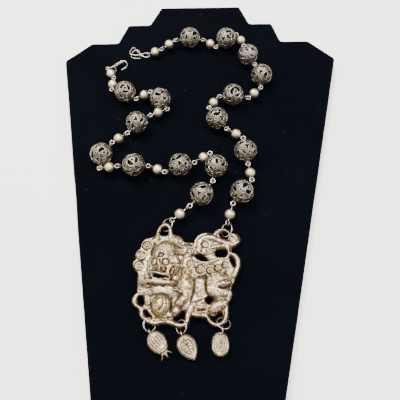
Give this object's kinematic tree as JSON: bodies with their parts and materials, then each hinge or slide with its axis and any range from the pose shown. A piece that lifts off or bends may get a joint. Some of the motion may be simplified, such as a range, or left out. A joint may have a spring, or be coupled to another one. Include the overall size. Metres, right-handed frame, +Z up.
{
  "type": "foo dog necklace on a display board",
  "caption": "Silver necklace with a hollow foo dog pendant, openwork ball beads, small round beads, fruit charms and an open hook clasp, laid on a black velvet display board",
  "frame": {"origin": "Middle of the display board's underside, which is also the middle of the whole part's underside", "axes": "+Z up, away from the surface that the board lies on; +Y towards the board's top edge, between whose shoulders the clasp lies; +X to the right as the pendant is looked at"},
  "size_m": [0.2112, 0.321, 0.0234],
  "materials": {
    "velvet": "matte",
    "cast_silver": "satin",
    "openwork_silver": "satin",
    "bead_silver": "satin",
    "wire_silver": "polished"
  },
  "bodies": {
    "root": {"display_board": "velvet", "foo_dog_pendant": "cast_silver", "pendant_ring_left": "wire_silver", "pendant_ring_right": "wire_silver", "charm_ring_left": "wire_silver", "charm_ring_middle": "wire_silver", "charm_ring_right": "wire_silver", "charm_pomegranate": "cast_silver", "charm_peach": "cast_silver", "charm_melon": "cast_silver", "clasp_hook": "wire_silver", "clasp_eye": "wire_silver", "strand_pins_right": "wire_silver", "strand_pins_left": "wire_silver", "openwork_ball_right_1": "openwork_silver", "openwork_ball_right_2": "openwork_silver", "openwork_ball_right_3": "openwork_silver", "openwork_ball_right_4": "openwork_silver", "openwork_ball_right_5": "openwork_silver", "openwork_ball_right_6": "openwork_silver", "openwork_ball_right_7": "openwork_silver", "openwork_ball_right_8": "openwork_silver", "openwork_ball_left_1": "openwork_silver", "openwork_ball_left_2": "openwork_silver", "openwork_ball_left_3": "openwork_silver", "openwork_ball_left_4": "openwork_silver", "openwork_ball_left_5": "openwork_silver", "openwork_ball_left_6": "openwork_silver", "openwork_ball_left_7": "openwork_silver", "openwork_ball_left_8": "openwork_silver", "round_bead_right_1": "bead_silver", "round_bead_right_2": "bead_silver", "round_bead_right_3": "bead_silver", "round_bead_right_4": "bead_silver", "round_bead_right_5": "bead_silver", "round_bead_right_6": "bead_silver", "round_bead_right_7": "bead_silver", "round_bead_right_8": "bead_silver", "round_bead_right_9": "bead_silver", "round_bead_left_1": "bead_silver", "round_bead_left_2": "bead_silver", "round_bead_left_3": "bead_silver", "round_bead_left_4": "bead_silver", "round_bead_left_5": "bead_silver", "round_bead_left_6": "bead_silver", "round_bead_left_7": "bead_silver", "round_bead_left_8": "bead_silver", "round_bead_left_9": "bead_silver"}
  },
  "joints": []
}
